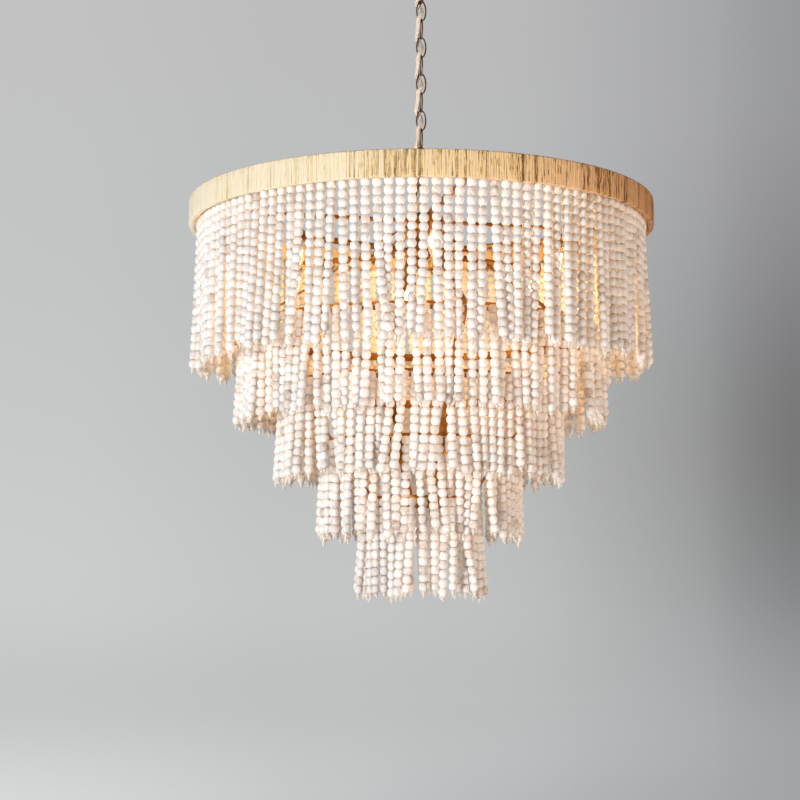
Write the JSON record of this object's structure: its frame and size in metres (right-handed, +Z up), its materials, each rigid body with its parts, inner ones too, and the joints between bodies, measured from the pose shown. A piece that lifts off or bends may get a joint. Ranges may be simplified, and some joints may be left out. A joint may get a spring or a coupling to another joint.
{
  "type": "beaded chandelier",
  "caption": "Round ceiling chandelier on a chain, with a jute-wound band and tiers of hanging wooden bead strands around a ring of small lamps",
  "frame": {"origin": "on the chandelier's own axis, in the ceiling's surface, where the ceiling bar's top face lies", "axes": "+Z up along the chain; the ceiling bar and one pair of spokes run along X, the other pair along Y"},
  "size_m": [0.75, 0.75, 1.0437],
  "materials": {
    "steel": "zinc plated",
    "bronze": "antique bronze",
    "brass": "satin gold",
    "jute": "wound jute",
    "beads": "white wash, matt",
    "cord": "woven sleeve",
    "glass": "clear"
  },
  "bodies": {
    "ceiling": {"ceiling_bar": "steel", "ceiling_screw_1": "steel", "ceiling_screw_2": "steel", "nipple": "steel", "nipple_nut": "steel", "canopy": "bronze", "canopy_loop": "bronze", "power_cord": "cord"},
    "collar": {"canopy_collar": "bronze"},
    "link_01": {"chain_link_01": "bronze"},
    "link_02": {"chain_link_02": "bronze"},
    "link_03": {"chain_link_03": "bronze"},
    "link_04": {"chain_link_04": "bronze"},
    "link_05": {"chain_link_05": "bronze"},
    "link_06": {"chain_link_06": "bronze"},
    "link_07": {"chain_link_07": "bronze"},
    "link_08": {"chain_link_08": "bronze"},
    "link_09": {"chain_link_09": "bronze"},
    "link_10": {"chain_link_10": "bronze"},
    "link_11": {"chain_link_11": "bronze"},
    "fixture": {"hub_loop": "bronze", "column": "brass", "hub_nut": "brass", "top_frame": "brass", "jute_band": "jute", "ring_2": "brass", "ring_3": "brass", "ring_4": "brass", "ring_5": "brass", "beads_tier_1_section_1": "beads", "beads_tier_1_section_2": "beads", "beads_tier_1_section_3": "beads", "beads_tier_1_section_4": "beads", "beads_tier_1_section_5": "beads", "beads_tier_1_section_6": "beads", "beads_tier_2_section_1": "beads", "beads_tier_2_section_2": "beads", "beads_tier_2_section_3": "beads", "beads_tier_2_section_4": "beads", "beads_tier_3_section_1": "beads", "beads_tier_3_section_2": "beads", "beads_tier_3_section_3": "beads", "beads_tier_4_section_1": "beads", "beads_tier_4_section_2": "beads", "beads_tier_5_section_1": "beads", "beads_tier_5_section_2": "beads", "lamp_arms": "brass", "finial": "brass", "socket_1": "brass", "socket_2": "brass", "socket_3": "brass", "socket_4": "brass", "socket_5": "brass", "socket_6": "brass"},
    "bulb_1": {"bulb_1": "glass"},
    "bulb_2": {"bulb_2": "glass"},
    "bulb_3": {"bulb_3": "glass"},
    "bulb_4": {"bulb_4": "glass"},
    "bulb_5": {"bulb_5": "glass"},
    "bulb_6": {"bulb_6": "glass"}
  },
  "joints": [
    {"name": "collar_screw", "type": "hinge", "parent": "ceiling", "child": "collar", "pos_m": [0, 0, -0.028], "axis": [0, 0, 1], "continuous": true},
    {"name": "chain_swing_01", "type": "hinge", "parent": "ceiling", "child": "link_01", "pos_m": [0, 0, -0.054], "axis": [0, 1, 0], "range_deg": [-7, 7], "deforming": ["power_cord"]},
    {"name": "chain_swing_02", "type": "hinge", "parent": "link_01", "child": "link_02", "pos_m": [0, 0, -0.0841], "axis": [1, 0, 0], "range_deg": [-7, 7]},
    {"name": "chain_swing_03", "type": "hinge", "parent": "link_02", "child": "link_03", "pos_m": [0, 0, -0.115], "axis": [0, 1, 0], "range_deg": [-7, 7]},
    {"name": "chain_swing_04", "type": "hinge", "parent": "link_03", "child": "link_04", "pos_m": [0, 0, -0.1459], "axis": [1, 0, 0], "range_deg": [-7, 7]},
    {"name": "chain_swing_05", "type": "hinge", "parent": "link_04", "child": "link_05", "pos_m": [0, 0, -0.1768], "axis": [0, 1, 0], "range_deg": [-7, 7]},
    {"name": "chain_swing_06", "type": "hinge", "parent": "link_05", "child": "link_06", "pos_m": [0, 0, -0.2077], "axis": [1, 0, 0], "range_deg": [-7, 7]},
    {"name": "chain_swing_07", "type": "hinge", "parent": "link_06", "child": "link_07", "pos_m": [0, 0, -0.2386], "axis": [0, 1, 0], "range_deg": [-7, 7]},
    {"name": "chain_swing_08", "type": "hinge", "parent": "link_07", "child": "link_08", "pos_m": [0, 0, -0.2695], "axis": [1, 0, 0], "range_deg": [-7, 7]},
    {"name": "chain_swing_09", "type": "hinge", "parent": "link_08", "child": "link_09", "pos_m": [0, 0, -0.3004], "axis": [0, 1, 0], "range_deg": [-7, 7]},
    {"name": "chain_swing_10", "type": "hinge", "parent": "link_09", "child": "link_10", "pos_m": [0, 0, -0.3313], "axis": [1, 0, 0], "range_deg": [-7, 7]},
    {"name": "chain_swing_11", "type": "hinge", "parent": "link_10", "child": "link_11", "pos_m": [0, 0, -0.3622], "axis": [0, 1, 0], "range_deg": [-7, 7]},
    {"name": "fixture_swing", "type": "hinge", "parent": "link_11", "child": "fixture", "pos_m": [0, 0, -0.3931], "axis": [1, 0, 0], "range_deg": [-7, 7]},
    {"name": "bulb_screw_1", "type": "hinge", "parent": "fixture", "child": "bulb_1", "pos_m": [0.21696, 0.08766, -0.48], "axis": [0, 0, 1], "continuous": true},
    {"name": "bulb_screw_2", "type": "hinge", "parent": "fixture", "child": "bulb_2", "pos_m": [0.03257, 0.23172, -0.48], "axis": [0, 0, 1], "continuous": true},
    {"name": "bulb_screw_3", "type": "hinge", "parent": "fixture", "child": "bulb_3", "pos_m": [-0.18439, 0.14406, -0.48], "axis": [0, 0, 1], "continuous": true},
    {"name": "bulb_screw_4", "type": "hinge", "parent": "fixture", "child": "bulb_4", "pos_m": [-0.21696, -0.08766, -0.48], "axis": [0, 0, 1], "continuous": true},
    {"name": "bulb_screw_5", "type": "hinge", "parent": "fixture", "child": "bulb_5", "pos_m": [-0.03257, -0.23172, -0.48], "axis": [0, 0, 1], "continuous": true},
    {"name": "bulb_screw_6", "type": "hinge", "parent": "fixture", "child": "bulb_6", "pos_m": [0.18439, -0.14406, -0.48], "axis": [0, 0, 1], "continuous": true}
  ]
}
